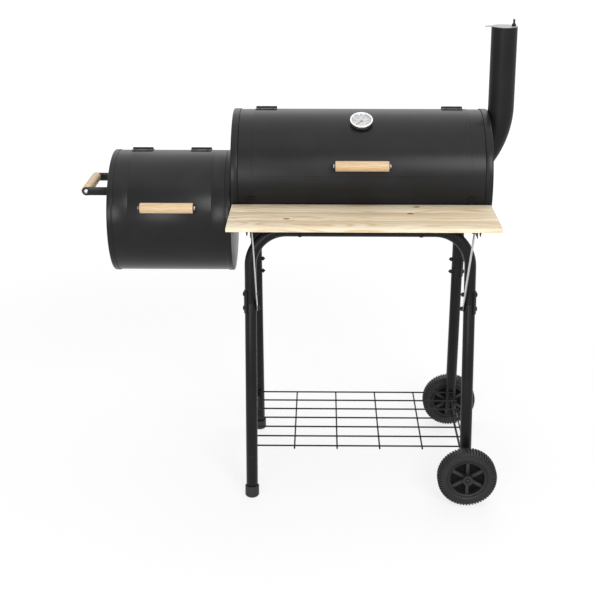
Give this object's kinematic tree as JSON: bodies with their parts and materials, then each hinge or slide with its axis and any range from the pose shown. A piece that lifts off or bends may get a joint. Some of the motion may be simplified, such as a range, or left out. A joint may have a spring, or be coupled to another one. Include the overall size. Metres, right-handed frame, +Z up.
{
  "type": "offset smoker",
  "caption": "Horizontal drum smoker with side firebox, bent chimney, hinged lids, front shelf, wire rack and two wheels on a tube frame.",
  "frame": {"origin": "middle of the object's footprint box, on the floor", "axes": "+Z up, -Y towards the user at the front, +X along the drum from firebox to chimney"},
  "size_m": [1.0448, 0.5932, 1.158],
  "materials": {
    "paint": "satin black heat-proof paint",
    "gloss": "semi-gloss black powder coat",
    "steel": "zinc-plated steel",
    "chrome": "bright plating",
    "plastic": "moulded dark grey plastic",
    "pine": "planed pine",
    "turned_wood": "turned, clear-lacquered wood",
    "glass": "clear dial glass",
    "pointer": "painted pointer"
  },
  "bodies": {
    "cart": {"drum_shell": "paint", "drum_cap_left": "paint", "drum_cap_right": "paint", "firebox_shell": "paint", "firebox_cap_left": "paint", "firebox_cap_right": "paint", "drum_hinge_left_shell_leaf": "gloss", "drum_hinge_right_shell_leaf": "gloss", "firebox_hinge_left_shell_leaf": "gloss", "firebox_hinge_right_shell_leaf": "gloss", "side_bracket": "paint", "side_grip": "turned_wood", "chimney_pipe": "paint", "damper_stud": "gloss", "front_arch": "gloss", "rear_arch": "gloss", "front_left_leg": "gloss", "front_right_leg": "gloss", "rear_left_leg": "gloss", "rear_right_leg": "gloss", "front_left_splice": "gloss", "front_right_splice": "gloss", "rear_left_splice": "gloss", "rear_right_splice": "gloss", "front_foot": "plastic", "rear_foot": "plastic", "axle": "gloss", "axle_nut": "gloss", "bottom_rack": "gloss", "shelf_board_1": "pine", "shelf_board_2": "pine", "shelf_board_3": "pine", "shelf_arm_left": "gloss", "shelf_arm_right": "gloss", "shelf_strut_left": "steel", "shelf_strut_right": "steel", "cooking_grate_left": "steel", "cooking_grate_right": "steel", "charcoal_grate": "gloss", "firebox_grate": "gloss"},
    "drum_lid": {"drum_lid_sheet": "paint", "drum_lid_bracket": "paint", "drum_lid_grip": "turned_wood", "drum_hinge_left_lid_leaf": "gloss", "drum_hinge_right_lid_leaf": "gloss", "thermometer_case": "chrome", "thermometer_lens": "glass"},
    "pointer": {"thermometer_needle": "pointer"},
    "firebox_lid": {"firebox_lid_sheet": "paint", "firebox_lid_bracket": "paint", "firebox_lid_grip": "turned_wood", "firebox_hinge_left_lid_leaf": "gloss", "firebox_hinge_right_lid_leaf": "gloss"},
    "chimney_damper": {"damper": "steel"},
    "air_vent": {"vent": "paint"},
    "front_wheel_body": {"front_wheel": "plastic"},
    "rear_wheel_body": {"rear_wheel": "plastic"}
  },
  "joints": [
    {"name": "drum_lid_hinge", "type": "hinge", "parent": "cart", "child": "drum_lid", "pos_m": [0.15185, 0.06317, 0.94105], "axis": [-1, 0, 0], "range_deg": [0, 105]},
    {"name": "firebox_lid_hinge", "type": "hinge", "parent": "cart", "child": "firebox_lid", "pos_m": [-0.30345, 0.06293, 0.83757], "axis": [-1, 0, 0], "range_deg": [0, 105]},
    {"name": "damper_swing", "type": "hinge", "parent": "cart", "child": "chimney_damper", "pos_m": [0.51295, 0.04438, 1.1411], "axis": [0, 0, 1], "range_deg": [0, 120]},
    {"name": "vent_turn", "type": "hinge", "parent": "cart", "child": "air_vent", "pos_m": [-0.45185, 0.04438, 0.6285], "axis": [1, 0, 0], "range_deg": [0, 45]},
    {"name": "pointer_turn", "type": "hinge", "parent": "drum_lid", "child": "pointer", "pos_m": [0.15185, -0.03217, 0.9261], "axis": [0, 0.4848, -0.8746], "range_deg": [0, 260]},
    {"name": "front_wheel_spin", "type": "hinge", "parent": "cart", "child": "front_wheel_body", "pos_m": [0.41585, -0.17685, 0.07254], "axis": [0, 1, 0], "continuous": true},
    {"name": "rear_wheel_spin", "type": "hinge", "parent": "cart", "child": "rear_wheel_body", "pos_m": [0.41585, 0.26561, 0.07254], "axis": [0, 1, 0], "continuous": true}
  ]
}
